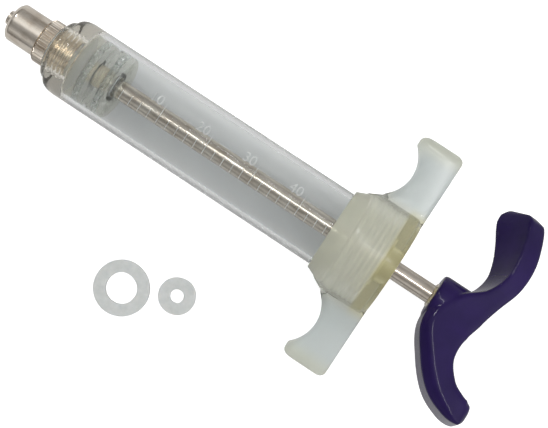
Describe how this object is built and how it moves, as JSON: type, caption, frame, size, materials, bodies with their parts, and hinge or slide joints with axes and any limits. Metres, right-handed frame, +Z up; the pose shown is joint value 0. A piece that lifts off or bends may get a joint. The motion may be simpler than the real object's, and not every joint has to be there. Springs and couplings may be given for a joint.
{
  "type": "meat injector",
  "caption": "Piston injector for marinade: clear barrel, screw-in metal lock nozzle, finger-grip rear cap, steel rod and S-shaped palm handle, with spare seals.",
  "frame": {"origin": "tip of the nozzle cone, on the barrel axis", "axes": "+X along the barrel axis from the nozzle to the handle, +Y towards one finger wing, +Z up from the surface it lies on"},
  "size_m": [0.2183, 0.1201, 0.0416],
  "materials": {
    "clear_plastic": "clear",
    "yellow_clear_plastic": "clear, slightly yellow",
    "piston_plastic": "clear",
    "white_plastic": "satin",
    "silicone": "matt translucent",
    "nickel": "nickel plated, turned",
    "brass": "turned",
    "purple_plastic": "glossy"
  },
  "bodies": {
    "barrel": {"barrel": "clear_plastic", "nozzle_gasket": "silicone", "spare_piston_ring": "silicone", "spare_nozzle_gasket": "silicone"},
    "nozzle_seal": {"nozzle_washer": "silicone"},
    "nozzle": {"nozzle_stem": "nickel", "lock_collar": "nickel"},
    "cap_seal": {"stop_washer": "silicone"},
    "cap": {"grip_cap": "yellow_clear_plastic", "rod_bush": "white_plastic"},
    "piston_seals": {"piston_front_ring": "silicone", "piston_rear_ring": "silicone"},
    "plunger": {"piston_front_plate": "piston_plastic", "piston_core": "piston_plastic", "piston_rear_plate": "piston_plastic", "piston_insert": "brass", "rod": "nickel", "rod_ferrule": "nickel", "handle_insert": "brass", "handle": "purple_plastic"}
  },
  "joints": [
    {"name": "plunger_slide", "type": "slide", "parent": "barrel", "child": "piston_seals", "axis": [1, 0, 0], "range_m": [0, 0.11]},
    {"name": "plunger_turn", "type": "hinge", "parent": "piston_seals", "child": "plunger", "pos_m": [0.04, 0, 0], "axis": [1, 0, 0], "continuous": true},
    {"name": "nozzle_travel", "type": "slide", "parent": "barrel", "child": "nozzle_seal", "axis": [-1, 0, 0], "range_m": [0, 0.009]},
    {"name": "nozzle_screw", "type": "hinge", "parent": "nozzle_seal", "child": "nozzle", "pos_m": [0.0205, 0, 0], "axis": [-1, 0, 0], "range_deg": [0, 2161]},
    {"name": "cap_travel", "type": "slide", "parent": "barrel", "child": "cap_seal", "axis": [1, 0, 0], "range_m": [0, 0.013]},
    {"name": "cap_screw", "type": "hinge", "parent": "cap_seal", "child": "cap", "pos_m": [0.1635, 0, 0], "axis": [1, 0, 0], "range_deg": [0, 2341]}
  ],
  "couplings": [
    {"joint": "nozzle_screw", "follows": "nozzle_travel", "rad_per_m": 4188.8},
    {"joint": "cap_screw", "follows": "cap_travel", "rad_per_m": 3141.6}
  ]
}
